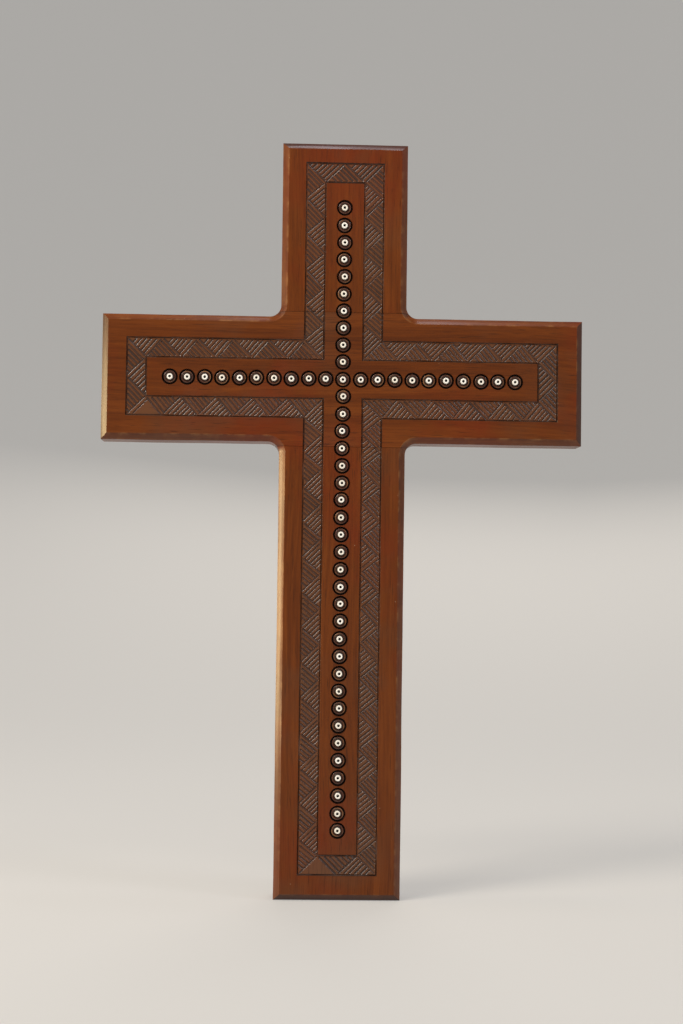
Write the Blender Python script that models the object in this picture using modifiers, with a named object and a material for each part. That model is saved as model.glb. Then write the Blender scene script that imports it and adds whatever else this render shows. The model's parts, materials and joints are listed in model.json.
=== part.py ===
# A flat wooden cross: two boards half-lapped at the crossing, with a row of glass
# seed beads set along each of them, one bead to a socket.
#
# Frame: +X to the right, +Z up, the front faces -Y. The origin is on the flat back,
# at the centre of the crossing.

import math

import bmesh
import bpy

# Boards, in metres.
BOARD_WIDTH = 0.0535
BOARD_THICKNESS = 0.018
TOP_REACH = 0.101             # crossing's centre to the end of the top arm
SIDE_REACH = 0.102            # to the ends of the side arms
SHAFT_REACH = 0.219           # to the foot
FRONT_CHAMFER = 0.0026
BACK_CHAMFER = 0.001
FILLET_RADIUS = 0.0048        # inner corners, at the boards' sides
FILLET_STEPS = 6

# Half-lap. The blanks were left a little wide here, and the fillets were cut after gluing.
LAP_ALLOWANCE = 0.00175       # how far a blank stands out past the finished width
LAP_DEPTH = BOARD_THICKNESS / 2
JOINT_GAP = 0.0003

# Beads and their sockets.
BEAD_PITCH = 0.0073
BEADS_PER_ARM = 10
BEADS_ON_SHAFT = 26
BEAD_RADIUS = 0.0013
BEAD_HOLE_RADIUS = 0.00047
BEAD_HEIGHT = 0.0019
BEAD_PROUD = 0.0008           # how far a bead stands out of the boards' front
BEAD_SIDES = 8
SOCKET_CLEARANCE = 0.0003
SOCKET_SIDES = 10

# Blind hole in the back of the top arm, for a nail in the wall.
HANGER_RADIUS = 0.0045
HANGER_DEPTH = 0.010
HANGER_HEIGHT = 0.080         # above the crossing's centre
HANGER_SIDES = 24

HALF_WIDTH = BOARD_WIDTH / 2
LAP_HALF_WIDTH = HALF_WIDTH + LAP_ALLOWANCE
FRONT_Y = -BOARD_THICKNESS
OVERCUT = 0.005               # how far a cutter runs past what it cuts
FACING_FRONT = (math.pi / 2, 0, 0)   # turns an object's own +Z to the front, -Y


def new_collection(name):
    collection = bpy.data.collections.new(name)
    bpy.context.scene.collection.children.link(collection)
    return collection


def make_material(name, color, roughness, coat=0.0):
    material = bpy.data.materials.new(name)
    material.use_nodes = True
    shader = material.node_tree.nodes["Principled BSDF"]
    shader.inputs["Base Color"].default_value = (*color, 1.0)
    shader.inputs["Roughness"].default_value = roughness
    shader.inputs["Metallic"].default_value = 0.0
    shader.inputs["Coat Weight"].default_value = coat
    return material


def add_object(name, mesh, collection, parent=None):
    obj = bpy.data.objects.new(name, mesh)
    collection.objects.link(obj)
    obj.parent = parent
    return obj


def add_box_cutter(name, low, high, collection):
    # A box between two corners, as a hidden cutter.
    bm = bmesh.new()
    bmesh.ops.create_cube(bm, size=1.0)
    for vert in bm.verts:
        vert.co = [a + (b - a) * (c + 0.5) for a, b, c in zip(low, high, vert.co)]
    mesh = bpy.data.meshes.new(name)
    bm.to_mesh(mesh)
    bm.free()
    return hide_cutter(add_object(name, mesh, collection))


def add_drill_cutter(name, radius, sides, start_y, end_y, centres, collection):
    # Round holes along Y, one for each (x, z) centre, as a single hidden cutter.
    bm = bmesh.new()
    for x, z in centres:
        drill = bmesh.ops.create_cone(
            bm, cap_ends=True, segments=sides,
            radius1=radius, radius2=radius, depth=end_y - start_y)
        for vert in drill["verts"]:
            across, up, along = vert.co
            vert.co = (x + across, (start_y + end_y) / 2 - along, z + up)
    mesh = bpy.data.meshes.new(name)
    bm.to_mesh(mesh)
    bm.free()
    return hide_cutter(add_object(name, mesh, collection))


def hide_cutter(cutter):
    cutter.hide_render = True
    cutter.display_type = "WIRE"
    return cutter


def add_boolean(obj, cutter, operation):
    modifier = obj.modifiers.new(f"{operation.lower()} {cutter.name}", "BOOLEAN")
    modifier.object = cutter
    modifier.operation = operation
    modifier.solver = "EXACT"


def cross_outline():
    # The finished outline, anticlockwise from the right arm's end. Each quarter turn adds
    # an arm's two corners and the concave fillet that leads to the next arm.
    centre = HALF_WIDTH + FILLET_RADIUS
    points = []
    for quarter, reach in enumerate((SIDE_REACH, TOP_REACH, SIDE_REACH, SHAFT_REACH)):
        stretch = [(reach, -HALF_WIDTH), (reach, HALF_WIDTH)]
        for step in range(FILLET_STEPS + 1):
            angle = -math.pi / 2 * (1 + step / FILLET_STEPS)
            stretch.append((centre + FILLET_RADIUS * math.cos(angle),
                            centre + FILLET_RADIUS * math.sin(angle)))
        turn = quarter * math.pi / 2
        for x, y in stretch:
            points.append((x * math.cos(turn) - y * math.sin(turn),
                           x * math.sin(turn) + y * math.cos(turn)))
    return points


def extruded_outline(name, points, thickness, collection):
    # A flat outline turned to stand upright, its back on the plane y = 0.
    curve = bpy.data.curves.new(name, "CURVE")
    curve.dimensions = "2D"
    curve.fill_mode = "BOTH"
    curve.extrude = thickness / 2
    spline = curve.splines.new("POLY")
    spline.points.add(len(points) - 1)
    for point, (x, y) in zip(spline.points, points):
        point.co = (x, y, 0, 1)
    spline.use_cyclic_u = True

    outline = add_object(name + " outline", curve, collection)
    outline.rotation_euler = FACING_FRONT
    outline.location.y = -thickness / 2
    bpy.context.view_layer.update()
    evaluated = outline.evaluated_get(bpy.context.evaluated_depsgraph_get())
    mesh = bpy.data.meshes.new_from_object(evaluated)
    matrix = outline.matrix_world.copy()
    bpy.data.objects.remove(outline)
    bpy.data.curves.remove(curve)

    bm = bmesh.new()
    bm.from_mesh(mesh)
    bmesh.ops.remove_doubles(bm, verts=bm.verts, dist=0.00001)
    # One face for each cap, in place of the curve's triangles. A cap's faces lie on one side of z = 0.
    caps = [face for face in bm.faces if len({vert.co.z > 0 for vert in face.verts}) == 1]
    bmesh.ops.delete(bm, geom=caps, context="FACES_ONLY")
    loose = [edge for edge in bm.edges if edge.is_wire]
    bmesh.ops.delete(bm, geom=loose, context="EDGES")
    bmesh.ops.edgeloop_fill(bm, edges=[edge for edge in bm.edges if edge.is_boundary])
    bmesh.ops.recalc_face_normals(bm, faces=bm.faces)
    bm.to_mesh(mesh)
    bm.free()
    mesh.name = name
    obj = add_object(name, mesh, collection)
    obj.matrix_world = matrix
    return obj


def add_rim_chamfers(obj):
    # Chamfers the edges of the front and the back. The upright edges at the boards' ends stay sharp.
    mesh = obj.data
    weights = mesh.attributes.new("bevel_weight_edge", "FLOAT", "EDGE")
    for edge in mesh.edges:
        first, second = (mesh.vertices[index].co.z for index in edge.vertices)
        if first > 0 and second > 0:
            weights.data[edge.index].value = 1.0
        elif first < 0 and second < 0:
            weights.data[edge.index].value = BACK_CHAMFER / FRONT_CHAMFER
    bevel = obj.modifiers.new("rim chamfers", "BEVEL")
    bevel.width = FRONT_CHAMFER
    bevel.segments = 1
    bevel.limit_method = "WEIGHT"
    bevel.use_clamp_overlap = False


def bead_places():
    # Every bead's name and its (x, z) place, from the crossing outwards along each arm.
    places = {"bead_centre": (0, 0)}
    arms = (("top", BEADS_PER_ARM, 0, 1), ("shaft", BEADS_ON_SHAFT, 0, -1),
            ("left", BEADS_PER_ARM, -1, 0), ("right", BEADS_PER_ARM, 1, 0))
    for arm, count, across, up in arms:
        for number in range(1, count + 1):
            distance = number * BEAD_PITCH
            places[f"bead_{arm}_{number:02d}"] = (across * distance, up * distance)
    return places


def make_board(name, keep, notch, sockets, material, parts):
    # One board of the cross: the part of the outline inside the keep box, less the lap's notch.
    board = extruded_outline(name, cross_outline(), BOARD_THICKNESS, parts)
    add_rim_chamfers(board)
    add_boolean(board, keep, "INTERSECT")
    add_boolean(board, notch, "DIFFERENCE")
    add_boolean(board, sockets, "DIFFERENCE")
    board.data.materials.append(material)
    return board


def make_upright(sockets, material, parts, cutters):
    keep = add_box_cutter("upright blank",
                          (-LAP_HALF_WIDTH, FRONT_Y - OVERCUT, -SHAFT_REACH - OVERCUT),
                          (LAP_HALF_WIDTH, OVERCUT, TOP_REACH + OVERCUT), cutters)
    notch = add_box_cutter("upright notch",
                           (-HALF_WIDTH - OVERCUT, FRONT_Y - OVERCUT, -LAP_HALF_WIDTH - JOINT_GAP),
                           (HALF_WIDTH + OVERCUT, -LAP_DEPTH + JOINT_GAP / 2, LAP_HALF_WIDTH + JOINT_GAP),
                           cutters)
    upright = make_board("upright", keep, notch, sockets, material, parts)
    hanger = add_drill_cutter("hanging hole", HANGER_RADIUS, HANGER_SIDES,
                              -HANGER_DEPTH, OVERCUT, [(0, HANGER_HEIGHT)], cutters)
    add_boolean(upright, hanger, "DIFFERENCE")
    return upright


def make_crossbar(sockets, material, parts, cutters):
    keep = add_box_cutter("crossbar blank",
                          (-SIDE_REACH - OVERCUT, FRONT_Y - OVERCUT, -LAP_HALF_WIDTH),
                          (SIDE_REACH + OVERCUT, OVERCUT, LAP_HALF_WIDTH), cutters)
    notch = add_box_cutter("crossbar notch",
                           (-LAP_HALF_WIDTH - JOINT_GAP, -LAP_DEPTH - JOINT_GAP / 2, -HALF_WIDTH - OVERCUT),
                           (LAP_HALF_WIDTH + JOINT_GAP, OVERCUT, HALF_WIDTH + OVERCUT), cutters)
    return make_board("crossbar", keep, notch, sockets, material, parts)


def turned_mesh(name, profile, sides, collection):
    # Turns a closed profile about the object's own Z axis. The profile runs down its outer side.
    mesh = bpy.data.meshes.new(name + " profile")
    edges = [(index, (index + 1) % len(profile)) for index in range(len(profile))]
    mesh.from_pydata([(radius, 0, height) for radius, height in profile], edges, [])
    blank = add_object(name + " blank", mesh, collection)
    screw = blank.modifiers.new("turn", "SCREW")
    screw.steps = sides
    screw.render_steps = sides
    screw.use_merge_vertices = True
    screw.merge_threshold = 0.00001
    bpy.context.view_layer.update()
    evaluated = blank.evaluated_get(bpy.context.evaluated_depsgraph_get())
    turned = bpy.data.meshes.new_from_object(evaluated)
    turned.name = name
    bpy.data.objects.remove(blank)
    bpy.data.meshes.remove(mesh)
    turned.shade_smooth()
    turned.set_sharp_from_angle(angle=math.radians(60))
    return turned


def make_beads(places, material, frame, parts):
    # A seed bead is a short glass tube with its cut ends melted round.
    end = BEAD_HEIGHT / 2
    wall_middle = (BEAD_RADIUS + BEAD_HOLE_RADIUS) / 2
    profile = [(wall_middle, end), (BEAD_RADIUS, 0.45 * end), (BEAD_RADIUS, -0.45 * end),
               (wall_middle, -end), (BEAD_HOLE_RADIUS, -0.65 * end), (BEAD_HOLE_RADIUS, 0.65 * end)]
    mesh = turned_mesh("seed bead", profile, BEAD_SIDES, parts)
    mesh.materials.append(material)
    for name, (x, z) in places.items():
        bead = add_object(name, mesh, parts, frame)
        bead.rotation_euler = FACING_FRONT
        bead.location = (x, FRONT_Y - BEAD_PROUD + end, z)


def main():
    for obj in list(bpy.data.objects):
        bpy.data.objects.remove(obj)
    parts = new_collection("carved cross")
    cutters = new_collection("cutters")
    frame = add_object("cross frame", None, parts)

    upright_wood = make_material("upright wood", (0.10, 0.035, 0.014), 0.40, coat=0.3)
    crossbar_wood = make_material("crossbar wood", (0.11, 0.038, 0.015), 0.40, coat=0.3)
    bead_glass = make_material("white bead glass", (0.85, 0.82, 0.76), 0.15)

    places = bead_places()
    socket_bottom = FRONT_Y - BEAD_PROUD + BEAD_HEIGHT + SOCKET_CLEARANCE
    sockets = add_drill_cutter("bead sockets", BEAD_RADIUS + SOCKET_CLEARANCE, SOCKET_SIDES,
                               FRONT_Y - OVERCUT, socket_bottom, places.values(), cutters)
    for board in (make_upright(sockets, upright_wood, parts, cutters),
                  make_crossbar(sockets, crossbar_wood, parts, cutters)):
        board.parent = frame
    make_beads(places, bead_glass, frame, parts)


main()
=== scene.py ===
import json
import math

import bmesh
import bpy
import numpy as np
from mathutils import Matrix, Vector, noise

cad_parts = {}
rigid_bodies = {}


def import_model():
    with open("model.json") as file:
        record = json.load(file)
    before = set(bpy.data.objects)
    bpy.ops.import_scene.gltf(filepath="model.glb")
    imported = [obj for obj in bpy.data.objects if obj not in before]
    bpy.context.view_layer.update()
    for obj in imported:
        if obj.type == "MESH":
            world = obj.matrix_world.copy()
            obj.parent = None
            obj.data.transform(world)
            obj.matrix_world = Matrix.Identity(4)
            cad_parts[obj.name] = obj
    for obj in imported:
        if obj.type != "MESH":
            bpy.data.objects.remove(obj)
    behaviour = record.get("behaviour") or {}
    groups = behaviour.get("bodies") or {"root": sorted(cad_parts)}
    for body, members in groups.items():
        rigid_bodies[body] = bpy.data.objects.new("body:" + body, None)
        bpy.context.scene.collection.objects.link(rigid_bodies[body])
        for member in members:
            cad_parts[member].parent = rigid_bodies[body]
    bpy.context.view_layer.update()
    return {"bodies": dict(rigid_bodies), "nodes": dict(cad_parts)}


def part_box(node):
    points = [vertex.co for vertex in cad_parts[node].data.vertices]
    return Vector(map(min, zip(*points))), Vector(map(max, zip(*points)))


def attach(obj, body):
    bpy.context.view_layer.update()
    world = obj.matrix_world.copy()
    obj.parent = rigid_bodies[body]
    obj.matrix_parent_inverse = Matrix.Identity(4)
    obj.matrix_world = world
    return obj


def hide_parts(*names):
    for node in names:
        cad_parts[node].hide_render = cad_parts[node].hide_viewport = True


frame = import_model()
print("frame loaded")

# The cross is carved lying on its back: +X to the right, +Y to the top end, +Z out of its
# front, with the back on z = 0. standUp turns each finished piece into the frame.
uprightLow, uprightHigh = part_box("upright")
crossbarLow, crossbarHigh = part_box("crossbar")
board = {
    "halfWidth": 0.02675,
    "lapHalfWidth": (uprightHigh[0] - uprightLow[0]) / 2,   # the blanks are wider than the finished boards
    "thickness": uprightHigh[1] - uprightLow[1],
    "reaches": (crossbarHigh[0], uprightHigh[2], -crossbarLow[0], -uprightLow[2]),  # right, top, left, foot
    "filletRadius": 0.0048,
    "filletSteps": 14,
    "pointSpacing": 0.007,       # along the straight edges, so that they can waver
    "waver": 0.00012,            # how far a planed edge strays
    "chamferWidth": 0.0026,
    "chamferTilts": (38, 52),    # degrees from the face, at the chamfer's inner and outer edge
    "chamferSteps": 3,
    "wornHighlightWidth": 0.0003,         # of the zone beside an edge that hands have rubbed and that carries a painted highlight
    "backChamfer": 0.001,
    "jointGap": 0.00012,
    "levelNormal": 0.9999,       # a face turned to the front by more than this is level
    "cellSize": 0.0035,          # of the small faces that the front is divided into
    "lineClearance": 0.0005,     # how far a division keeps from a drawn line
    "planing": 0.00003,          # how deep the plane's hollows are
    "planingRate": 60,
    "sharpDegrees": 28,
}


def addNode(tree, kind, links=None, **settings):
    # links holds an input's source socket or its plain value, by the input's name or number.
    node = tree.nodes.new(kind)
    for name, value in settings.items():
        setattr(node, name, value)
    for key, source in (links or {}).items():
        if isinstance(source, bpy.types.NodeSocket):
            tree.links.new(source, node.inputs[key])
        else:
            node.inputs[key].default_value = source
    return node


def newTree(name, inputs):
    # A geometry tree with the named inputs. Returns it with its group input's sockets.
    tree = bpy.data.node_groups.new(name, "GeometryNodeTree")
    for label, kind in inputs.items():
        tree.interface.new_socket(name=label, in_out="INPUT", socket_type="NodeSocket" + kind)
    tree.interface.new_socket(name="Geometry", in_out="OUTPUT", socket_type="NodeSocketGeometry")
    return tree, tree.nodes.new("NodeGroupInput").outputs


def runTree(obj, tree, values):
    # Sets the tree's inputs by their identifiers, then swaps the object's mesh for the result.
    modifier = obj.modifiers.new(tree.name, "NODES")
    modifier.node_group = tree
    for item in tree.interface.items_tree:
        if item.in_out == "INPUT" and item.name in values:
            modifier[item.identifier] = values[item.name]
    return settle(obj)


def settle(obj):
    # Swaps the object's mesh for its evaluated one, with no modifiers left.
    bpy.context.view_layer.update()
    evaluated = obj.evaluated_get(bpy.context.evaluated_depsgraph_get())
    mesh = bpy.data.meshes.new_from_object(evaluated)
    obj.modifiers.clear()
    obj.data = mesh
    return obj


def addObject(name, mesh):
    obj = bpy.data.objects.new(name, mesh)
    bpy.context.scene.collection.objects.link(obj)
    return obj


def meshObject(name, points, faces):
    mesh = bpy.data.meshes.new(name)
    mesh.from_pydata([tuple(point) for point in points], [], faces)
    return addObject(name, mesh)


def cutWith(obj, cutter, operation="DIFFERENCE"):
    modifier = obj.modifiers.new("cut", "BOOLEAN")
    modifier.object = cutter
    modifier.operation = operation
    modifier.solver = "MANIFOLD"
    modifier.material_mode = "TRANSFER"
    before = len(obj.data.vertices)
    settle(obj)
    print("  cut", cutter.name, before, "->", len(obj.data.vertices), "points")
    bpy.data.objects.remove(cutter)
    return obj


# The wander below is drawn from this seed, so that every run gives the same cross.
noise.seed_set(5)


def strayed(x, y, amount, seed):
    # A point moved by a smooth, repeatable wander, as a hand tool strays from its line.
    shift = noise.noise_vector(Vector((x * 45, y * 45, seed * 7.3)))
    return x + shift.x * amount, y + shift.y * amount


def crossOutline(half, reaches, radius, inset, spacing):
    # A cross's outline moved inwards by inset, with a point about every spacing. Every inset
    # gives the same number of points. Each quarter turn adds an arm's end, its far side, the
    # concave fillet and the next arm's near side.
    centre = half + radius
    points = []
    for quarter in range(4):
        reach, nextReach = reaches[quarter], reaches[(quarter + 1) % 4]
        a = half - inset
        stretch = alongLine((reach - inset, -a), (reach - inset, a), 2 * half / spacing)
        stretch += alongLine((reach - inset, a), (centre, a), (reach - centre) / spacing)
        steps = board["filletSteps"] if radius else 0
        for step in range(steps):
            angle = -math.pi / 2 * (1 + step / steps)
            stretch.append((centre + (radius + inset) * math.cos(angle),
                            centre + (radius + inset) * math.sin(angle)))
        start = centre if radius else a
        stretch += alongLine((a, start), (a, nextReach - inset), (nextReach - centre) / spacing)
        turn = quarter * math.pi / 2
        for x, y in stretch:
            points.append((x * math.cos(turn) - y * math.sin(turn),
                           x * math.sin(turn) + y * math.cos(turn)))
    return points


def alongLine(start, end, pieces):
    # Evenly spaced points from start, leaving out the end.
    count = max(1, round(pieces))
    return [(start[0] + (end[0] - start[0]) * step / count,
             start[1] + (end[1] - start[1]) * step / count) for step in range(count)]


def loft(name, rings, capped):
    # Joins rings of equal length. Capped: a solid from the first ring to the last.
    # Not capped: the last ring joins the first again, as round a groove's section.
    count = len(rings[0])
    points = [point for ring in rings for point in ring]
    faces = []
    for level in range(len(rings) - (1 if capped else 0)):
        above = (level + 1) % len(rings)
        for index in range(count):
            after = (index + 1) % count
            faces.append((level * count + index, level * count + after,
                          above * count + after, above * count + index))
    if capped:
        faces.append(tuple(reversed(range(count))))
        faces.append(tuple(range((len(rings) - 1) * count, len(rings) * count)))
    return faceOutwards(meshObject(name, points, faces))


def faceOutwards(obj):
    bm = bmesh.new()
    bm.from_mesh(obj.data)
    bmesh.ops.recalc_face_normals(bm, faces=bm.faces)
    bm.to_mesh(obj.data)
    bm.free()
    return obj


def chamferProfile():
    # The rim's section as (inset, height, lighter edge) steps, from the back's edge round to the front's.
    # The lighter edge is 1 where hands have rubbed an edge bright and a painted highlight lies along the
    # arris, and 0 a little way from it.
    first, last = (math.radians(tilt) for tilt in board["chamferTilts"])
    steps = board["chamferSteps"]
    tilts = [first + (last - first) * (step + 0.5) / steps for step in range(steps)]
    length = board["chamferWidth"] / sum(math.cos(tilt) for tilt in tilts)
    inset, height, wearAndHighlight = board["chamferWidth"], board["thickness"], 1.0
    front = [(inset + board["wornHighlightWidth"], height, 0.0), (inset, height, wearAndHighlight)]
    for tilt in tilts:
        inset -= length * math.cos(tilt)
        height -= length * math.sin(tilt)
        wearAndHighlight *= 0.25
        front.append((inset, height, wearAndHighlight))
    front[-1] = (inset, height, 0.7)
    front.append((inset, height - board["wornHighlightWidth"], 0.0))
    edge = board["backChamfer"]
    back = [(edge + board["wornHighlightWidth"], 0, 0.0), (edge, 0, 0.8), (edge * 0.35, edge * 0.35, 0.4),
            (0, edge, 0.8), (0, edge + board["wornHighlightWidth"], 0.0)]
    return back + list(reversed(front))


def makeBlank():
    # The whole cross before carving, as one loft from its back to its front.
    rings = []
    wearAndHighlight = []
    for inset, height, wornAndHighlight in chamferProfile():
        ring = []
        outline = crossOutline(board["halfWidth"], board["reaches"], board["filletRadius"],
                               inset + board["waver"], board["pointSpacing"])
        for x, y in outline:
            x, y = strayed(x, y, board["waver"], inset * 900)
            ring.append((x, y, height))
        rings.append(ring)
        wearAndHighlight += [wornAndHighlight] * len(ring)
    blank = loft("blank", rings, capped=True)
    blank.data.attributes.new("wearAndHighlight", "FLOAT", "POINT").data.foreach_set("value", wearAndHighlight)
    return blank


# The hatched band that runs round the cross between two incised lines.
band = {
    "outerHalf": 0.0164,
    "innerHalf": 0.0083,
    "margins": (0.0110, 0.0089, 0.0108, 0.0109),   # from the board's ends: right, top, left, foot
    "lineHalfWidth": 0.00042,
    "lineDepth": 0.00042,
    "lineWaver": 0.00010,
    "armBases": 5,             # hatched triangles with their base on the outer line, along an arm's side
    "shaftBases": 13,
    "strokes": 7,              # to a triangle
    "leftPlain": {(2, 1): 2, (3, 0): 1},   # strokes in the corners that the carver hardly cut
    "cutShare": 0.46,          # a stroke's width, as a share of the spacing along the base
    "cutDepth": 0.37,          # and its depth, as a share of its width
    "strokeMargin": 0.00012,
    "shortestStroke": 0.0014,
    "unevenSpacing": 0.08,     # how far a stroke strays from its place, as a share of the spacing
    "unevenCut": 0.12,         # and its width and depth from the usual, as a share of them
    "slipAngle": 0.014,        # and its heading, in radians
    "seed": 3,
    "overcut": 0.0003,         # how far cutters stand above the face
}
bandWidth = band["outerHalf"] - band["innerHalf"]
bandEnds = [reach - margin for reach, margin in zip(board["reaches"], band["margins"])]


def planeFront(blank):
    # Divides the front into small faces, which the cuts that follow divide cleanly, and leaves it
    # as a hand plane does, a few hundredths of a millimetre from flat. The faces of the band,
    # between its two lines, take the second material.
    right, top, left, foot = board["reaches"]
    bm = bmesh.new()
    bm.from_mesh(blank.data)
    for axis, low, high, lowEnd, highEnd in ((0, -left, right, -bandEnds[2], bandEnds[0]),
                                             (1, -foot, top, -bandEnds[3], bandEnds[1])):
        drawn = [sign * half for sign in (-1, 1) for half in (band["outerHalf"], band["innerHalf"])]
        drawn += [lowEnd, lowEnd + bandWidth, highEnd - bandWidth, highEnd]
        count = int((high - low) / board["cellSize"])
        spread = [low + (high - low) * (index + 0.37) / count for index in range(1, count - 1)]
        spread = [place for place in spread
                  if min(abs(place - line) for line in drawn) > board["lineClearance"]]
        for place in drawn + spread:
            # Dictionaries keep their order, so that every run divides the front the same way.
            faces = [face for face in bm.faces if face.normal.z > board["levelNormal"]]
            edges = dict.fromkeys(edge for face in faces for edge in face.edges)
            verts = dict.fromkeys(vert for face in faces for vert in face.verts)
            origin = Vector((0, 0, 0))
            origin[axis] = place
            normal = Vector((0, 0, 0))
            normal[axis] = 1
            bmesh.ops.bisect_plane(bm, geom=faces + list(edges) + list(verts), dist=0.00001,
                                   plane_co=origin, plane_no=normal)
    innerEnds = [end - bandWidth for end in bandEnds]
    for face in bm.faces:
        middle = face.calc_center_median()
        inBand = insideCross(middle, band["outerHalf"], bandEnds) \
            and not insideCross(middle, band["innerHalf"], innerEnds)
        if inBand and face.normal.z > board["levelNormal"]:
            face.material_index = 1
    rate = board["planingRate"]
    for vert in bm.verts:
        if vert.co.z > board["thickness"] - 0.00001:
            swell = noise.noise(Vector((vert.co.x * rate, vert.co.y * rate, 4)))
            vert.co.z -= board["planing"] * (0.5 + 0.5 * swell)
    bm.to_mesh(blank.data)
    bm.free()
    return blank


def insideCross(point, half, reaches):
    right, top, left, foot = reaches
    inLevel = abs(point.y) < half and -left < point.x < right
    return inLevel or (abs(point.x) < half and -foot < point.y < top)


def cutLine(blank, half, margins, name, material):
    # A round-bottomed line round the whole cross, cut deeper in some places than in others.
    front, depth, over = board["thickness"], band["lineDepth"], band["overcut"]
    reaches = [reach - margin for reach, margin in zip(board["reaches"], margins)]
    rings = []
    for across, down in ((-1.35, None), (1.35, None), (1, 0), (0.5, 0.72), (0, 1), (-0.5, 0.72), (-1, 0)):
        ring = []
        inset = across * band["lineHalfWidth"]
        for (x, y), (midX, midY) in zip(crossOutline(half, reaches, 0, inset, board["pointSpacing"] / 2),
                                        crossOutline(half, reaches, 0, 0, board["pointSpacing"] / 2)):
            strayX, strayY = strayed(midX, midY, band["lineWaver"], half * 1000)
            force = 0.9 + 0.35 * noise.noise(Vector((midX * 260, midY * 260, half * 500)))
            height = front + over if down is None else front - depth * down * force
            ring.append((x + strayX - midX, y + strayY - midY, height))
        rings.append(ring)
    cutter = loft(name, rings, capped=False)
    cutter.data.materials.append(material)
    return cutWith(blank, cutter)


def bandTriangles():
    # The band's zigzag as (root, far, tip, strokes, kind). Strokes run parallel to root-tip, and
    # the base is root-far. On level stretches the triangles based on the outer line are hatched
    # rising to the right, and on upright stretches falling to the right. The others are hatched
    # the other way.
    triangles = []
    for quarter in range(4):
        turn = Matrix.Rotation(quarter * math.pi / 2, 2)
        bases = band["shaftBases"] if quarter == 3 else band["armBases"]
        end = bandEnds[quarter]
        for side in (1, -1):
            # From the arm's end to the crossing. The inner line starts and stops a band's width
            # further along.
            length = end - band["outerHalf"]
            run = {"start": turn @ Vector((end, side * band["outerHalf"])),
                   "along": turn @ Vector((-1, 0)), "inward": turn @ Vector((0, -side))}
            triangles += runTriangles(run, length, length, bases, bases, (quarter, side))
        run = {"start": turn @ Vector((end, -band["outerHalf"])),
               "along": turn @ Vector((0, 1)), "inward": turn @ Vector((-1, 0))}
        length = 2 * band["outerHalf"]
        triangles += runTriangles(run, length, length - 2 * bandWidth, 2, 1, (quarter, 0))
    return triangles


def runTriangles(run, outerLength, innerLength, outerBases, innerBases, corner):
    # The triangles of one straight stretch. corner is its key in leftPlain.
    strokes = band["strokes"]
    firstStrokes = band["leftPlain"].get(corner, strokes)
    outer = [run["start"] + run["along"] * (outerLength * step / outerBases)
             for step in range(outerBases + 1)]
    innerStart = run["start"] + (run["along"] + run["inward"]) * bandWidth
    inner = [innerStart + run["along"] * (innerLength * step / innerBases)
             for step in range(innerBases + 1)]
    level = abs(run["along"].x) > 0.5
    rising = Vector((1, 1))
    falling = Vector((1, -1))
    found = []
    for index in range(outerBases):
        found.append(hatched(outer[index], outer[index + 1], inner[index],
                             rising if level else falling, strokes if index else firstStrokes,
                             "level outer" if level else "upright outer"))
    for index in range(innerBases):
        found.append(hatched(inner[index], inner[index + 1], outer[index + 1],
                             falling if level else rising, strokes,
                             "level inner" if level else "upright inner"))
    return found


def hatched(first, second, tip, direction, strokes, kind):
    # Picks which end of the base the strokes lean from, so that they run in the direction.
    if abs((tip - first).normalized().dot(direction)) > abs((tip - second).normalized().dot(direction)):
        return first, second, tip, strokes, kind
    return second, first, tip, strokes, kind


def makeBlade():
    # A gouge's stroke of unit length, half-width and depth: it enters slowly and stops short.
    enters, stops, top = 0.10, 0.95, 0.6
    section = [(-1.2, top)] + [(step / 3, (step / 3) ** 2 - 1) for step in range(-3, 4)] + [(1.2, top)]
    points = [(0, 0, top), (1, 0, top)]
    points += [(along, across, up) for along in (enters, stops) for across, up in section]
    count = len(section)
    faces = []
    for index in range(count):
        near, nextNear = 2 + index, 2 + (index + 1) % count
        faces += [(0, nextNear, near), (near, nextNear, nextNear + count, near + count),
                  (1, near + count, nextNear + count)]
    return faceOutwards(meshObject("blade", points, faces))


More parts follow.
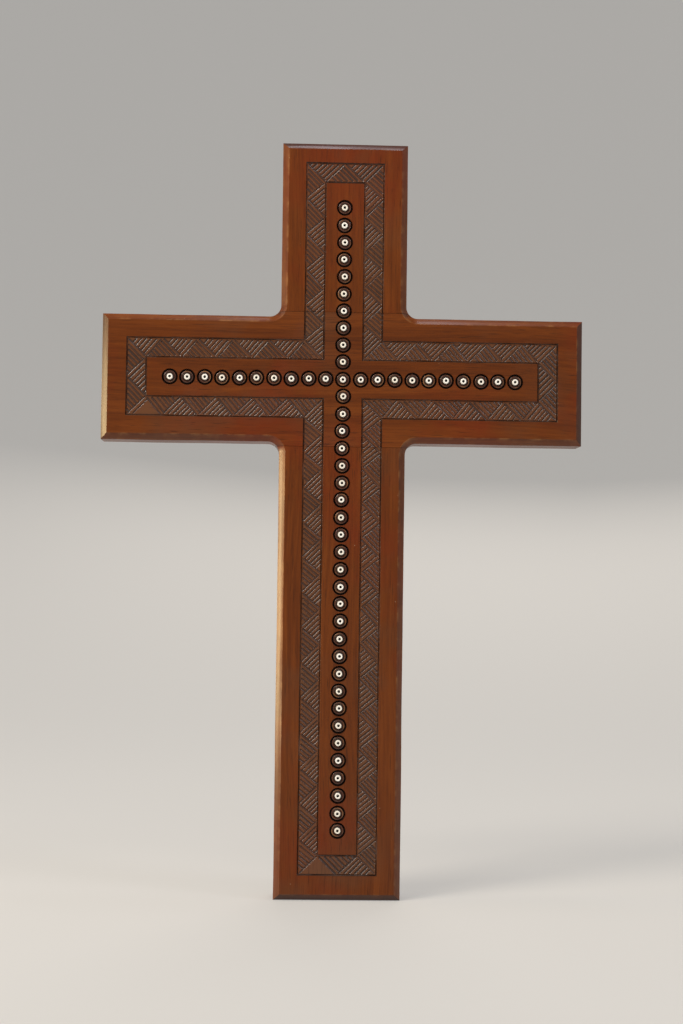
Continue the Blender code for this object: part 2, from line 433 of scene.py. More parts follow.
def hatchingTree():
    # One blade for each stroke of each triangle, and of these the even or the odd ones. The
    # triangles come as points that carry their three corners and their number of strokes, which
    # is less than Full Strokes where some are left out.
    tree, given = newTree("hatching", {
        "Layout": "Geometry", "Blade": "Object", "Full Strokes": "Int", "Cut Share": "Float",
        "Cut Depth": "Float", "End Margin": "Float", "Shortest": "Float", "Uneven Spacing": "Float",
        "Uneven Cut": "Float", "Slip Angle": "Float", "Seed": "Int", "Odd Ones": "Int",
        "Finish": "Material"})
    root, far, tip = (addNode(tree, "GeometryNodeInputNamedAttribute", {"Name": name},
                              data_type="FLOAT_VECTOR").outputs[0] for name in ("root", "far", "tip"))
    strokes = addNode(tree, "GeometryNodeInputNamedAttribute", {"Name": "strokes"}, data_type="INT")
    copies = addNode(tree, "GeometryNodeDuplicateElements", {0: given["Layout"], 2: strokes.outputs[0]},
                     domain="POINT")

    # Where along the base a stroke starts, from 0 at the root to 1 at the far end.
    # The first stroke is the triangle's edge and keeps its place.
    chance = addNode(tree, "FunctionNodeRandomValue", {2: -1.0, 3: 1.0, 8: given["Seed"]}).outputs[1]
    slip = addNode(tree, "ShaderNodeMath", {0: chance, 1: given["Uneven Spacing"]}, operation="MULTIPLY")
    later = addNode(tree, "ShaderNodeMath", {0: copies.outputs[1], 1: 1.0}, operation="MINIMUM")
    slip = addNode(tree, "ShaderNodeMath", {0: slip.outputs[0], 1: later.outputs[0]}, operation="MULTIPLY")
    place = addNode(tree, "ShaderNodeMath", {0: slip.outputs[0], 1: copies.outputs[1]}, operation="ADD")
    share = addNode(tree, "ShaderNodeMath", {0: place.outputs[0], 1: given["Full Strokes"]},
                    operation="DIVIDE").outputs[0]
    start = addNode(tree, "ShaderNodeMix", {0: share, 4: root, 5: far}, data_type="VECTOR").outputs[1]
    end = addNode(tree, "ShaderNodeMix", {0: share, 4: tip, 5: far}, data_type="VECTOR").outputs[1]
    span = addNode(tree, "ShaderNodeVectorMath", {0: end, 1: start}, operation="SUBTRACT").outputs[0]
    whole = addNode(tree, "ShaderNodeVectorMath", {0: span}, operation="LENGTH").outputs[1]
    heading = addNode(tree, "ShaderNodeVectorMath", {0: span}, operation="NORMALIZE").outputs[0]
    indent = addNode(tree, "ShaderNodeVectorMath", {0: heading, 3: given["End Margin"]}, operation="SCALE")
    origin = addNode(tree, "ShaderNodeVectorMath", {0: start, 1: indent.outputs[0]},
                     operation="ADD").outputs[0]
    margins = addNode(tree, "ShaderNodeMath", {0: given["End Margin"], 1: 2.0}, operation="MULTIPLY")
    length = addNode(tree, "ShaderNodeMath", {0: whole, 1: margins.outputs[0]},
                     operation="SUBTRACT").outputs[0]

    # Each stroke's heading, width and depth stray a little.
    split = addNode(tree, "ShaderNodeSeparateXYZ", {0: heading})
    angle = addNode(tree, "ShaderNodeMath", {0: split.outputs[1], 1: split.outputs[0]}, operation="ARCTAN2")
    chance = addNode(tree, "FunctionNodeRandomValue", {2: -1.0, 3: 1.0, 8: 7}).outputs[1]
    slip = addNode(tree, "ShaderNodeMath", {0: chance, 1: given["Slip Angle"]}, operation="MULTIPLY")
    angle = addNode(tree, "ShaderNodeMath", {0: angle.outputs[0], 1: slip.outputs[0]}, operation="ADD")
    turned = addNode(tree, "ShaderNodeCombineXYZ", {2: angle.outputs[0]}).outputs[0]
    least = addNode(tree, "ShaderNodeMath", {0: 1.0, 1: given["Uneven Cut"]}, operation="SUBTRACT").outputs[0]
    most = addNode(tree, "ShaderNodeMath", {0: 1.0, 1: given["Uneven Cut"]}, operation="ADD").outputs[0]
    force = addNode(tree, "FunctionNodeRandomValue", {2: least, 3: most, 8: 11}).outputs[1]
    base = addNode(tree, "ShaderNodeVectorMath", {0: far, 1: root}, operation="DISTANCE").outputs[1]
    spacing = addNode(tree, "ShaderNodeMath", {0: base, 1: given["Full Strokes"]}, operation="DIVIDE")
    width = addNode(tree, "ShaderNodeMath", {0: spacing.outputs[0], 1: given["Cut Share"]},
                    operation="MULTIPLY")
    width = addNode(tree, "ShaderNodeMath", {0: width.outputs[0], 1: force}, operation="MULTIPLY")
    halfWidth = addNode(tree, "ShaderNodeMath", {0: width.outputs[0], 1: 0.5}, operation="MULTIPLY")
    depth = addNode(tree, "ShaderNodeMath", {0: width.outputs[0], 1: given["Cut Depth"]},
                    operation="MULTIPLY")
    size = addNode(tree, "ShaderNodeCombineXYZ",
                   {0: length, 1: halfWidth.outputs[0], 2: depth.outputs[0]}).outputs[0]

    placed = addNode(tree, "GeometryNodeSetPosition", {0: copies.outputs[0], 2: origin}).outputs[0]
    longEnough = addNode(tree, "ShaderNodeMath", {0: length, 1: given["Shortest"]}, operation="GREATER_THAN")
    parity = addNode(tree, "ShaderNodeMath", {0: copies.outputs[1], 1: 2.0}, operation="MODULO").outputs[0]
    inTurn = addNode(tree, "ShaderNodeMath", {0: parity, 1: given["Odd Ones"], 2: 0.1}, operation="COMPARE")
    chosen = addNode(tree, "ShaderNodeMath", {0: longEnough.outputs[0], 1: inTurn.outputs[0]},
                     operation="MULTIPLY").outputs[0]
    blade = addNode(tree, "GeometryNodeObjectInfo", {0: given["Blade"]}).outputs["Geometry"]
    cuts = addNode(tree, "GeometryNodeInstanceOnPoints",
                   {0: placed, 1: chosen, 2: blade, 5: turned, 6: size}).outputs[0]
    finish(tree, cuts, given["Finish"])
    return tree


def finish(tree, instances, material):
    # The last two steps of every tree: real geometry in its own material.
    real = addNode(tree, "GeometryNodeRealizeInstances", {0: instances}).outputs[0]
    painted = addNode(tree, "GeometryNodeSetMaterial", {0: real, 2: material}).outputs[0]
    addNode(tree, "NodeGroupOutput", {0: painted})


def cutHatching(blank, material):
    # Neighbouring triangles are of different kinds. Each kind is cut by itself and every second
    # stroke at a time, because the strokes of one cutter must not run into each other.
    triangles = bandTriangles()
    blade = makeBlade()
    tree = hatchingTree()
    for kind in sorted({triangle[4] for triangle in triangles}):
        chosen = [triangle for triangle in triangles if triangle[4] == kind]
        for oddOnes in (0, 1):
            layout = meshObject(kind + " strokes", [(0, 0, 0)] * len(chosen), [])
            for name, index in (("root", 0), ("far", 1), ("tip", 2)):
                attribute = layout.data.attributes.new(name, "FLOAT_VECTOR", "POINT")
                for item, triangle in zip(attribute.data, chosen):
                    item.vector = (*triangle[index], board["thickness"])
            attribute = layout.data.attributes.new("strokes", "INT", "POINT")
            for item, triangle in zip(attribute.data, chosen):
                item.value = triangle[3]
            runTree(layout, tree, {
                "Blade": blade, "Full Strokes": band["strokes"],
                "Cut Share": band["cutShare"], "Cut Depth": band["cutDepth"],
                "End Margin": band["strokeMargin"], "Shortest": band["shortestStroke"],
                "Uneven Spacing": band["unevenSpacing"], "Uneven Cut": band["unevenCut"],
                "Slip Angle": band["slipAngle"], "Seed": band["seed"], "Odd Ones": oddOnes,
                "Finish": material})
            cutWith(blank, layout)
    bpy.data.objects.remove(blade)
    return blank


# Seed beads, each in a dished boss cut with a ring tool.
beads = {
    "pitch": 0.0073,
    "above": 10,
    "below": 26,
    "aside": 10,
    "wander": 0.00016,          # how far each boss sits from its true place
    "radius": 0.0013,
    "holeRadius": 0.00050,
    "height": 0.0019,
    "proud": 0.0007,
    "sides": 28,
    "ringRadius": 0.0033,       # outer wall of the ring that was cut round each boss
    "ringSlope": 0.00015,       # and how much wider its broken edge is
    "ringDepth": 0.00125,
    "bossRadius": 0.00266,
    "crestRadius": 0.00232,
    "collarRadius": 0.00165,    # lowest line of the dish round the bead
    "collarDepth": 0.00055,
    "crestDrop": 0.00014,       # from the face to the boss's crest
    "shoulderDrop": 0.00030,    # and from there to where its side starts
    "socketRadius": 0.00142,
    "socketDepth": 0.0015,
    "tilt": 0.03,               # radians at most, and forty times that about its own axis
    "seed": 12,
    "sharpDegrees": 40,
}


def rowsTree():
    # Puts one shape at each place along two crossed rows. The same seed gives the same places.
    tree, given = newTree("crossed rows", {
        "Geometry": "Geometry", "Shape": "Object", "Pitch": "Float", "Above": "Int", "Below": "Int",
        "Aside": "Int", "Height": "Float", "Wander": "Float", "Tilt": "Float", "Seed": "Int",
        "Finish": "Material"})
    minusPitch = addNode(tree, "ShaderNodeMath", {0: given["Pitch"], 1: -1.0},
                         operation="MULTIPLY").outputs[0]
    lowest, leftmost = (addNode(tree, "ShaderNodeMath", {0: minusPitch, 1: given[name]},
                                operation="MULTIPLY").outputs[0] for name in ("Below", "Aside"))
    upCount = addNode(tree, "ShaderNodeMath", {0: given["Above"], 1: given["Below"]}, operation="ADD")
    upCount = addNode(tree, "ShaderNodeMath", {0: upCount.outputs[0], 1: 1.0}, operation="ADD").outputs[0]
    upStart = addNode(tree, "ShaderNodeCombineXYZ", {1: lowest, 2: given["Height"]}).outputs[0]
    upStep = addNode(tree, "ShaderNodeCombineXYZ", {1: given["Pitch"]}).outputs[0]
    upright = addNode(tree, "GeometryNodeMeshLine", {0: upCount, 2: upStart, 3: upStep}).outputs[0]
    # The level row comes as two halves, because the upright row has the bead at the centre.
    leftStart = addNode(tree, "ShaderNodeCombineXYZ", {0: leftmost, 2: given["Height"]}).outputs[0]
    rightStart = addNode(tree, "ShaderNodeCombineXYZ", {0: given["Pitch"], 2: given["Height"]}).outputs[0]
    sideStep = addNode(tree, "ShaderNodeCombineXYZ", {0: given["Pitch"]}).outputs[0]
    left = addNode(tree, "GeometryNodeMeshLine", {0: given["Aside"], 2: leftStart, 3: sideStep}).outputs[0]
    right = addNode(tree, "GeometryNodeMeshLine", {0: given["Aside"], 2: rightStart, 3: sideStep}).outputs[0]
    rows = addNode(tree, "GeometryNodeJoinGeometry")
    for row in (upright, left, right):
        tree.links.new(row, rows.inputs[0])

    chance = addNode(tree, "FunctionNodeRandomValue", {0: (-1, -1, 0), 1: (1, 1, 0), 8: given["Seed"]},
                     data_type="FLOAT_VECTOR").outputs[0]
    shift = addNode(tree, "ShaderNodeVectorMath", {0: chance, 3: given["Wander"]}, operation="SCALE")
    placed = addNode(tree, "GeometryNodeSetPosition", {0: rows.outputs[0], 3: shift.outputs[0]}).outputs[0]
    chance = addNode(tree, "FunctionNodeRandomValue", {0: (-1, -1, -40), 1: (1, 1, 40), 8: 5},
                     data_type="FLOAT_VECTOR").outputs[0]
    lean = addNode(tree, "ShaderNodeVectorMath", {0: chance, 3: given["Tilt"]}, operation="SCALE").outputs[0]
    shape = addNode(tree, "GeometryNodeObjectInfo", {0: given["Shape"]}).outputs["Geometry"]
    copies = addNode(tree, "GeometryNodeInstanceOnPoints", {0: placed, 2: shape, 5: lean}).outputs[0]
    tone = addNode(tree, "FunctionNodeRandomValue", {2: 0.0, 3: 1.0, 8: 9}).outputs[1]
    toned = addNode(tree, "GeometryNodeStoreNamedAttribute", {0: copies, 2: "tone", 3: tone},
                    data_type="FLOAT", domain="INSTANCE").outputs[0]
    finish(tree, toned, given["Finish"])
    return tree


def turnedShape(name, profile, closed):
    # Turns a (radius, height) profile about Z. A closed profile makes a ring.
    bm = bmesh.new()
    points = [bm.verts.new((radius, 0, height)) for radius, height in profile]
    edges = [bm.edges.new(pair) for pair in zip(points, points[1:])]
    if closed:
        edges.append(bm.edges.new((points[-1], points[0])))
    bmesh.ops.spin(bm, geom=points + edges, cent=(0, 0, 0), axis=(0, 0, 1), angle=2 * math.pi,
                   steps=beads["sides"], use_merge=True)
    bmesh.ops.remove_doubles(bm, verts=bm.verts, dist=0.000001)
    bmesh.ops.recalc_face_normals(bm, faces=bm.faces)
    mesh = bpy.data.meshes.new(name)
    bm.to_mesh(mesh)
    bm.free()
    return addObject(name, mesh)


def bossCutter():
    # What the ring tool and the drill take away, from the axis outwards and back below the face.
    ring, boss, crest, collar = (beads[key] for key in
                                 ("ringRadius", "bossRadius", "crestRadius", "collarRadius"))
    depth, dish, socket = beads["ringDepth"], beads["collarDepth"], beads["socketRadius"]
    overcut = band["overcut"]
    broken = ring + beads["ringSlope"]
    profile = [(0, overcut), (broken + 0.00025, overcut), (broken, 0), (ring + 0.00012, -0.00020),
               (ring, -0.00045), (ring - 0.00010, -0.9 * depth), ((ring + boss) / 2, -depth),
               (boss + 0.00008, -0.9 * depth), (boss + 0.00002, -0.6 * depth)]
    # From the boss's shoulder over its crest, down into the dish and up to the socket's lip.
    steps = 4
    top = beads["crestDrop"]
    for step in range(steps + 1):
        angle = math.pi / 2 * step / steps
        profile.append((crest + (boss - crest) * math.cos(angle),
                        -top - beads["shoulderDrop"] * (1 - math.sin(angle))))
    for step in range(1, 2 * steps + 1):
        share = step / (2 * steps)
        profile.append((crest + (collar - crest) * share,
                        -top - (dish - top) * (1 - math.cos(math.pi * share)) / 2))
    profile += [(socket + 0.00012, -dish + 0.00008), (socket, -dish), (socket, -beads["socketDepth"]),
                (0, -beads["socketDepth"])]
    cutter = turnedShape("boss", profile, closed=False)
    # The crest is painted lighter: partly wear from every hand that passes over it, partly a painted
    # highlight in arcs round the boss.
    wearAndHighlight = cutter.data.attributes.new("wearAndHighlight", "FLOAT", "POINT")
    for item, vert in zip(wearAndHighlight.data, cutter.data.vertices):
        radius = math.hypot(vert.co.x, vert.co.y)
        onCrest = abs(radius - crest) < 0.00016 and -0.0003 < vert.co.z < 0
        item.value = 2.0 if onCrest else 0.0
    return cutter


def beadShape():
    # A drop of glass tube with its cut ends melted round.
    middle = (beads["radius"] + beads["holeRadius"]) / 2
    wall = (beads["radius"] - beads["holeRadius"]) / 2
    profile = []
    steps = 16
    for step in range(steps):
        angle = 2 * math.pi * step / steps
        across, up = math.cos(angle), math.sin(angle)
        profile.append((middle + wall * math.copysign(abs(across) ** 0.62, across),
                        beads["height"] / 2 * math.copysign(abs(up) ** 0.7, up)))
    shape = turnedShape("bead shape", profile, closed=True)
    # Painted shade lines the hole: 1 at its wall, 0 from the middle of the glass outwards.
    hole = shape.data.attributes.new("hole", "FLOAT", "POINT")
    for item, vert in zip(hole.data, shape.data.vertices):
        radius = math.hypot(vert.co.x, vert.co.y)
        item.value = 1.0 if radius < beads["holeRadius"] * 1.12 else 0.0
    return shape


def placeAlongRows(name, shape, height, material, tilt):
    holder = meshObject(name, [(0, 0, 0)], [])
    runTree(holder, rowsTree(), {
        "Shape": shape, "Pitch": beads["pitch"], "Above": beads["above"], "Below": beads["below"],
        "Aside": beads["aside"], "Height": height, "Wander": beads["wander"], "Tilt": tilt,
        "Seed": beads["seed"], "Finish": material})
    bpy.data.objects.remove(shape)
    return holder


def cutHanger(blank, material):
    # The blind hole in the back of the top arm, drilled with a slightly dished mouth.
    hole = {"radius": 0.0045, "depth": 0.010, "point": 0.0008, "up": 0.080, "mouth": 0.0003}
    radius, mouth = hole["radius"], hole["mouth"]
    profile = [(0, hole["depth"] + hole["point"]), (radius, hole["depth"]), (radius, mouth),
               (radius + 2 * mouth, -mouth), (0, -mouth)]
    drill = turnedShape("hanger drill", profile, closed=False)
    drill.data.transform(Matrix.Translation((0, hole["up"], 0)))
    drill.data.materials.append(material)
    return cutWith(blank, drill)


def boxObject(name, lowCorner, highCorner):
    bm = bmesh.new()
    bmesh.ops.create_cube(bm, size=1.0)
    for vert in bm.verts:
        vert.co = [a + (b - a) * (c + 0.5) for a, b, c in zip(lowCorner, highCorner, vert.co)]
    mesh = bpy.data.meshes.new(name)
    bm.to_mesh(mesh)
    bm.free()
    return addObject(name, mesh)


def sawOut(cross, name, alongX):
    # One board of the carved cross: its blank's width, less the notch of the half-lap.
    lap, gap = board["lapHalfWidth"], board["jointGap"]
    wide = lap + gap
    middle, far = board["thickness"] / 2, 1.0
    piece = addObject(name, cross.data.copy())
    if alongX:
        blank = boxObject("crossbar blank", (-far, -lap, -far), (far, lap, far))
        notch = boxObject("crossbar notch", (-wide, -far, -far), (wide, far, middle + gap / 2))
    else:
        blank = boxObject("upright blank", (-lap, -far, -far), (lap, far, far))
        notch = boxObject("upright notch", (-far, -wide, middle - gap / 2), (far, wide, far))
    cutWith(piece, blank, "INTERSECT")
    return cutWith(piece, notch)


def standUp(obj, sharpDegrees):
    # From the bench into the frame: the front turns to -Y and the top end to +Z.
    obj.data.transform(Matrix.Rotation(math.pi / 2, 4, "X"))
    mesh = obj.data
    mesh.shade_smooth()
    mesh.set_sharp_from_angle(angle=math.radians(sharpDegrees))
    # The level front and back end crisply at every cut, so no cut's roundness bleeds into them.
    borders = [0] * len(mesh.edges)
    for polygon in mesh.polygons:
        side = 1 if abs(polygon.normal.y) > board["levelNormal"] else 2
        for loop in polygon.loop_indices:
            borders[mesh.loops[loop].edge_index] |= side
    for edge, sides in zip(mesh.edges, borders):
        if sides == 3:
            edge.use_edge_sharp = True
    mesh.update()
    return obj


def hexColor(code):
    # An sRGB hex colour as linear RGBA.
    channels = [int(code[index:index + 2], 16) / 255 for index in (1, 3, 5)]
    return tuple(c / 12.92 if c <= 0.04045 else ((c + 0.055) / 1.055) ** 2.4 for c in channels) + (1.0,)


def newMaterial(name, shaderSettings):
    material = bpy.data.materials.new(name)
    material.use_nodes = True
    shader = material.node_tree.nodes["Principled BSDF"]
    for socket, value in shaderSettings.items():
        shader.inputs[socket].default_value = value
    return material, material.node_tree, shader


def addRamp(tree, factor, stops):
    # A colour ramp from (position, hex colour) stops.
    node = addNode(tree, "ShaderNodeValToRGB", {0: factor})
    elements = node.color_ramp.elements
    while len(elements) < len(stops):
        elements.new(0.5)
    for element, (position, code) in zip(elements, stops):
        element.position = position
        element.color = hexColor(code)
    return node.outputs[0]


# Walnut, stained dark and finished with a rubbed oil varnish. The stain lies in fine straight
# streaks along the grain, redder or greyer in patches, and the pores stay nearly black.
woodLook = {
    "stain": ((0.28, "#4a2004"), (0.50, "#622e07"), (0.74, "#783d10")),
    # Tones laid over the stain: the tone, where its pattern starts and is full, and its share there.
    "red": ("#6c2506", 0.50, 0.68, 0.6),
    "grey": ("#5a3720", 0.52, 0.70, 0.6),
    "endGrain": ("#2a1206", 0.45, 0.72, 0.7),
    "pore": "#200d04",
    "poreLimits": (0.60, 0.72),
    "poreShare": 0.5,
    # Lighter edges and crests: rubbed wear, together with a painted highlight along the arrises and boss
    # crests.
    "wornAndHighlight": "#a07040",
    "wornHighlightLimits": (0.48, 0.70),
    "wornHighlightShare": 0.4,
    "wornHighlightScale": 220.0,          # breaks the wear and its painted highlight up into chips a few millimetres long
    "dust": "#c0a482",
    "fibreWidth": 0.0007,
    "bandWidth": 0.0045,         # the broader stripes that growth rings leave
    "fibreStretch": 0.03,        # a streak's width as a share of its length
    "poreWidth": 0.00035,
    "patchSize": 0.05,
    "dustSpacing": 0.006,
    "dustShare": 0.5,
    "dustRarity": 0.75,          # the share of the grid's cells that stay clean
    "drift": 0.008,              # how far the grain bends from straight
    "roughness": (0.36, 0.50),
    "fibreRelief": 0.00004,
    "reliefStrength": 0.7,
    "rimFacing": (0.70, 0.16),   # how far a chamfer is turned to the front, and how much more or less
    "rimGloss": 0.5,
    "coatRoughness": (0.14, 0.24),   # of the flat faces, and of the chamfers
    # The cuts darken below the front face, as painted shade together with dirt: how dark, and from how deep.
    "deepShadeShare": 0.95,
    "deepShadeStart": 0.00006,
}

# The wood's surfaces, as each one's name, gloss, stain laid over it and its share, and the tone
# that painted shade and dirt darken the cuts to, that far below the front face. The ones after the first
# stand for the hatched band's ground, the gouge cuts in it and the cuts round the beads.
surfaces = {
    "wood": ("varnished walnut", 0.18, None, None),
    "ground": ("hatched ground", 0.35, ("#5e4530", 0.50), None),
    "cut": ("gouge cuts", 1.0, ("#5c3e2b", 0.45), ("#1c0d05", 0.00045)),
    "boss": ("ring cuts", 1.0, ("#2c150c", 0.60), ("#060302", 0.00125)),
}


def mixColors(tree, share, first, second):
    sockets = {0: share, 6: first, 7: second}
    return addNode(tree, "ShaderNodeMix", sockets, data_type="RGBA").outputs[2]


def remap(tree, value, fromLow, fromHigh, toLow, toHigh):
    return addNode(tree, "ShaderNodeMapRange",
                   {0: value, 1: fromLow, 2: fromHigh, 3: toLow, 4: toHigh}).outputs[0]


def layOver(tree, color, pattern, tone):
    code, start, full, share = tone
    return mixColors(tree, remap(tree, pattern, start, full, 0.0, share), color, hexColor(code))


def varnishedWood(name, upright, offset, gloss, tint, shadeAndDirtDepths):
    look = woodLook
    material, tree, shader = newMaterial(name, {
        "IOR": 1.5, "Specular IOR Level": 0.12, "Coat IOR": 1.5})
    place = addNode(tree, "ShaderNodeTexCoord").outputs["Object"]
    alongX = addNode(tree, "ShaderNodeMapping", {
        "Vector": place, "Rotation": (0, math.pi / 2 if upright else 0, 0), "Location": offset}).outputs[0]

    # The grain drifts a little from straight.
    drift = addNode(tree, "ShaderNodeTexNoise", {"Vector": alongX, "Scale": 9.0, "Detail": 1.0}).outputs[1]
    drift = addNode(tree, "ShaderNodeVectorMath", {0: drift, 3: look["drift"]}, operation="SCALE").outputs[0]
    bent = addNode(tree, "ShaderNodeVectorMath", {0: alongX, 1: drift}, operation="ADD").outputs[0]
    stretched = addNode(tree, "ShaderNodeMapping", {
        "Vector": bent, "Scale": (look["fibreStretch"], 1, 1)}).outputs[0]
    fibres = addNode(tree, "ShaderNodeTexNoise", {
        "Vector": stretched, "Scale": 1 / look["fibreWidth"], "Detail": 3.0, "Roughness": 0.6}).outputs[0]
    bands = addNode(tree, "ShaderNodeTexNoise", {
        "Vector": stretched, "Scale": 1 / look["bandWidth"], "Detail": 3.0, "Distortion": 0.4}).outputs[0]
    pores = addNode(tree, "ShaderNodeTexNoise", {
        "Vector": stretched, "Scale": 1 / look["poreWidth"], "Detail": 1.0}).outputs[0]
    patches = addNode(tree, "ShaderNodeTexNoise", {
        "Vector": alongX, "Scale": 1 / look["patchSize"], "Detail": 4.0, "Roughness": 0.6})

    streak = addNode(tree, "ShaderNodeMath", {0: fibres, 1: bands}, operation="ADD").outputs[0]
    streak = addNode(tree, "ShaderNodeMath", {0: streak, 1: 0.5}, operation="MULTIPLY").outputs[0]
    color = addRamp(tree, streak, look["stain"])
    patchKind = addNode(tree, "ShaderNodeSeparateColor", {0: patches.outputs[1]}).outputs[1]
    color = layOver(tree, color, patches.outputs[0], look["red"])
    color = layOver(tree, color, patchKind, look["grey"])
    if tint:
        color = mixColors(tree, tint[1], color, hexColor(tint[0]))
    poreShare = remap(tree, pores, *look["poreLimits"], 0.0, look["poreShare"])
    color = mixColors(tree, poreShare, color, hexColor(look["pore"]))

    # Edges and boss crests lighter here and there: wood rubbed through, together with a painted highlight
    # along them.
    wearAndHighlight = addNode(tree, "ShaderNodeAttribute", attribute_name="wearAndHighlight").outputs["Fac"]
    broken = addNode(tree, "ShaderNodeTexNoise", {
        "Vector": alongX, "Scale": look["wornHighlightScale"], "Detail": 3.0}).outputs[0]
    broken = remap(tree, broken, *look["wornHighlightLimits"], 0.0, look["wornHighlightShare"])
    rubbedAndHighlit = addNode(tree, "ShaderNodeMath", {0: wearAndHighlight, 1: broken}, operation="MULTIPLY").outputs[0]
    color = mixColors(tree, rubbedAndHighlit, color, hexColor(look["wornAndHighlight"]))

    # A few specks of dust, one in four cells of a scattered grid.
    dots = addNode(tree, "ShaderNodeTexVoronoi", {"Vector": place, "Scale": 1 / look["dustSpacing"]})
    near = remap(tree, dots.outputs[0], 0.02, 0.035, 1.0, 0.0)
    chosen = addNode(tree, "ShaderNodeSeparateColor", {0: dots.outputs[1]}).outputs[0]
    chosen = addNode(tree, "ShaderNodeMath", {0: chosen, 1: look["dustRarity"]},
                     operation="GREATER_THAN").outputs[0]
    speck = addNode(tree, "ShaderNodeMath", {0: near, 1: chosen}, operation="MULTIPLY").outputs[0]
    speck = addNode(tree, "ShaderNodeMath", {0: speck, 1: look["dustShare"]}, operation="MULTIPLY").outputs[0]
    color = mixColors(tree, speck, color, hexColor(look["dust"]))

    # End grain drinks more of the stain.
    normal = addNode(tree, "ShaderNodeTexCoord").outputs["Normal"]
    normal = addNode(tree, "ShaderNodeVectorMath", {0: normal}, operation="ABSOLUTE").outputs[0]
    normal = addNode(tree, "ShaderNodeSeparateXYZ", {0: normal}).outputs
    facing, endwise = normal[1], normal[2 if upright else 0]
    color = layOver(tree, color, endwise, look["endGrain"])
    # Painted shade together with dirt: cut faces darken the deeper they lie behind the front face.
    if shadeAndDirtDepths:
        height = addNode(tree, "ShaderNodeSeparateXYZ", {0: place}).outputs[1]
        front = -board["thickness"]
        color = layOver(tree, color, height, (shadeAndDirtDepths[0], front + look["deepShadeStart"], front + shadeAndDirtDepths[1],
                                              look["deepShadeShare"]))
    tree.links.new(color, shader.inputs["Base Color"])

    # The chamfers were rubbed evenly by hand, to a softer shine than the brushed flats.
    middle, reach = look["rimFacing"]
    rim = addNode(tree, "ShaderNodeMath", {0: facing, 1: middle, 2: reach}, operation="COMPARE").outputs[0]
    tree.links.new(remap(tree, rim, 0.0, 1.0, gloss, look["rimGloss"]), shader.inputs["Coat Weight"])
    tree.links.new(remap(tree, rim, 0.0, 1.0, *look["coatRoughness"]), shader.inputs["Coat Roughness"])
    tree.links.new(remap(tree, patchKind, 0.35, 0.65, *look["roughness"]), shader.inputs["Roughness"])

    relief = addNode(tree, "ShaderNodeMath", {0: fibres, 1: poreShare}, operation="SUBTRACT").outputs[0]
    bump = addNode(tree, "ShaderNodeBump", {
        "Height": relief, "Distance": look["fibreRelief"], "Strength": look["reliefStrength"]})
    tree.links.new(bump.outputs[0], shader.inputs["Normal"])
    return material


# Opaque white glass, melted smooth. It reads as bright, slightly warm rings with a hole painted dark as
# shade.
def beadGlass():
    material, tree, shader = newMaterial("opaque white glass", {
        "Roughness": 0.12, "IOR": 1.52})
    tone = addNode(tree, "ShaderNodeAttribute", attribute_name="tone").outputs["Fac"]
    hole = addNode(tree, "ShaderNodeAttribute", attribute_name="hole").outputs["Fac"]
    body = mixColors(tree, tone, hexColor("#fbf8f0"), hexColor("#f0e9da"))
    # The hole's wall is painted near black, a painted shade inside the hole.
    tree.links.new(mixColors(tree, hole, body, hexColor("#17100b")), shader.inputs["Base Color"])
    return material


# Matt backdrop paper. A little light of its own keeps it evenly pale up the wall, whatever
# the lamps leave in shade.
def backdropPaper():
    return newMaterial("pale backdrop paper", {
        "Base Color": hexColor("#9a9792"), "Roughness": 0.95, "Specular IOR Level": 0.1,
        "Emission Color": hexColor("#f3f1ee"), "Emission Strength": 0.34})[0]


def paint(obj, slots):
    # Swaps the materials left by the cutters for the board's own, by name, one slot for each.
    mesh = obj.data
    names = [old.name if old else "" for old in mesh.materials]
    order = list(dict.fromkeys(slots.values()))
    wanted = [order.index(slots.get(name, slots["wood"])) for name in names]
    indices = np.zeros(len(mesh.polygons), dtype=np.int32)
    mesh.polygons.foreach_get("material_index", indices)
    mesh.materials.clear()
    for material in order:
        mesh.materials.append(material)
    mesh.polygons.foreach_set("material_index", np.array(wanted, dtype=np.int32)[indices])
    return obj


def makeStage():
    # A pale floor that curves up into a wall all round.
    stage = {"radius": 4.5, "curve": 3.8, "wall": 4.4, "steps": 32}
    floorHeight = -board["reaches"][3]
    profile = [(0, 0), (stage["radius"] - stage["curve"], 0)]
    for step in range(1, stage["steps"] + 1):
        angle = math.pi / 2 * step / stage["steps"]
        profile.append((stage["radius"] - stage["curve"] * (1 - math.sin(angle)),
                        stage["curve"] * (1 - math.cos(angle))))
    profile.append((stage["radius"], stage["wall"]))
    floor = turnedShape("studioFloor", profile, closed=False)
    floor.data.transform(Matrix.Translation((0, 0, floorHeight)))
    floor.data.shade_smooth()
    floor.data.materials.append(backdropPaper())


def addLight(name, place, size, power, color, spread=180):
    light = bpy.data.lights.new(name, "AREA")
    light.shape = "RECTANGLE"
    light.size, light.size_y = size
    light.energy = power
    light.spread = math.radians(spread)
    light.color = hexColor(color)[:3]
    obj = bpy.data.objects.new(name, light)
    bpy.context.scene.collection.objects.link(obj)
    obj.location = place
    middle = Vector((0, 0, -0.07))
    obj.rotation_euler = (middle - obj.location).to_track_quat("-Z", "Y").to_euler()
    obj.visible_camera = False


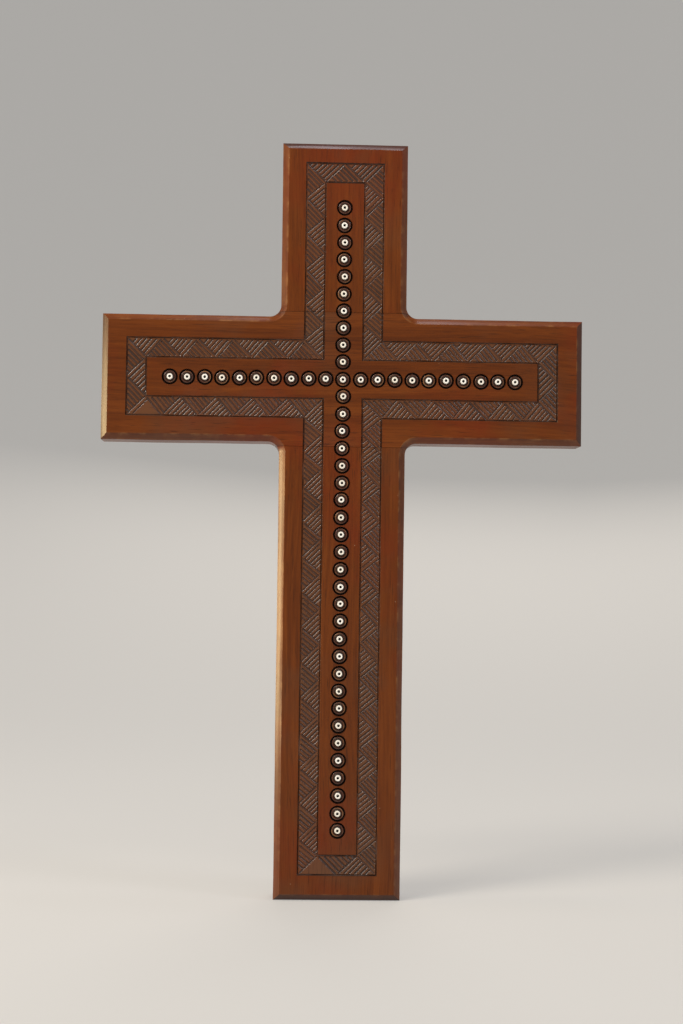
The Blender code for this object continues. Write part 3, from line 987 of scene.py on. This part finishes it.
def lightScene():
    # The two windows rake the carving from the upper left. The strip at the left, spread narrowly
    # so that it misses the floor, and the small lamp overhead draw the left rim and the upper
    # fillets.
    addLight("window", (-0.95, -0.62, 0.75), (0.5, 0.5), 12.5, "#fff6e8")
    addLight("high window", (-0.54, -0.58, 0.94), (0.42, 0.42), 5.2, "#fff8ee")
    addLight("left strip", (-0.52, 0.012, -0.07), (0.15, 0.27), 0.125, "#ffe2a8", 36)
    addLight("overhead", (0.05, 0.05, 1.0), (0.24, 0.08), 0.9, "#f4f6ff")
    addLight("right window", (1.0, -0.55, 0.75), (0.4, 0.4), 4, "#f2f4ff")
    addLight("front fill", (0.4, -1.3, 1.4), (1.0, 1.0), 4.2, "#fff9f2")
    addLight("back fill", (0.3, 1.7, 0.9), (1.4, 1.2), 14, "#fff9f2")
    world = bpy.data.worlds.new("studio")
    world.use_nodes = True
    background = world.node_tree.nodes["Background"]
    background.inputs["Color"].default_value = hexColor("#eef0f4")
    background.inputs["Strength"].default_value = 0.12
    bpy.context.scene.world = world
    bpy.context.scene.view_settings.view_transform = "Standard"


def addCamera():
    view = {"lens": 60, "place": (-0.0259, -0.7366, -0.0843), "turn": (92.245, -0.737, -2.096)}
    camera = bpy.data.cameras.new("camera")
    camera.lens = view["lens"]
    obj = bpy.data.objects.new("camera", camera)
    bpy.context.scene.collection.objects.link(obj)
    obj.location = view["place"]
    obj.rotation_euler = [math.radians(angle) for angle in view["turn"]]
    bpy.context.scene.camera = obj


lightScene()
addCamera()
makeStage()
print("stage, lights and camera ready")

# Cutters carry a marker material each, so that every cut face can be found again. The blank
# has the first two.
wood, ground, cut, boss = (bpy.data.materials.new(name) for name in surfaces)

cross = makeBlank()
cross.data.materials.append(wood)
cross.data.materials.append(ground)
planeFront(cross)
cutHatching(cross, cut)
cutLine(cross, band["outerHalf"], band["margins"], "outer line", cut)
cutLine(cross, band["innerHalf"], [margin + bandWidth for margin in band["margins"]], "inner line", cut)
cutWith(cross, placeAlongRows("bosses", bossCutter(), board["thickness"], boss, 0.0))
cutHanger(cross, wood)
print("carving done")

crossbar = standUp(sawOut(cross, "crossbarBoard", True), board["sharpDegrees"])
upright = standUp(sawOut(cross, "uprightBoard", False), board["sharpDegrees"])
bpy.data.objects.remove(cross)
# Each board is cut from its own place in the plank, so that their grain differs.
for piece, isUpright, offset in ((crossbar, False, (0.31, 0.02, 0.0)), (upright, True, (0.07, 0.0, 0.01))):
    paint(piece, {key: varnishedWood(piece.name + " " + label, isUpright, offset, gloss, tint, shadeAndDirtDepths)
                  for key, (label, gloss, tint, shadeAndDirtDepths) in surfaces.items()})
beadHeight = board["thickness"] + beads["proud"] - beads["height"] / 2
seedBeads = placeAlongRows("seedBeads", beadShape(), beadHeight, beadGlass(), beads["tilt"])
standUp(seedBeads, beads["sharpDegrees"])
print("boards and beads ready")

beadNodes = [name for name in frame["nodes"] if name.startswith("bead_")]
body = list(frame["bodies"])[0]
for piece, nodes, slot in ((upright, ["upright"], "varnished_wood"),
                           (crossbar, ["crossbar"], "varnished_wood"),
                           (seedBeads, beadNodes, "white_glass")):
    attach(piece, body)
    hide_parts(*nodes)
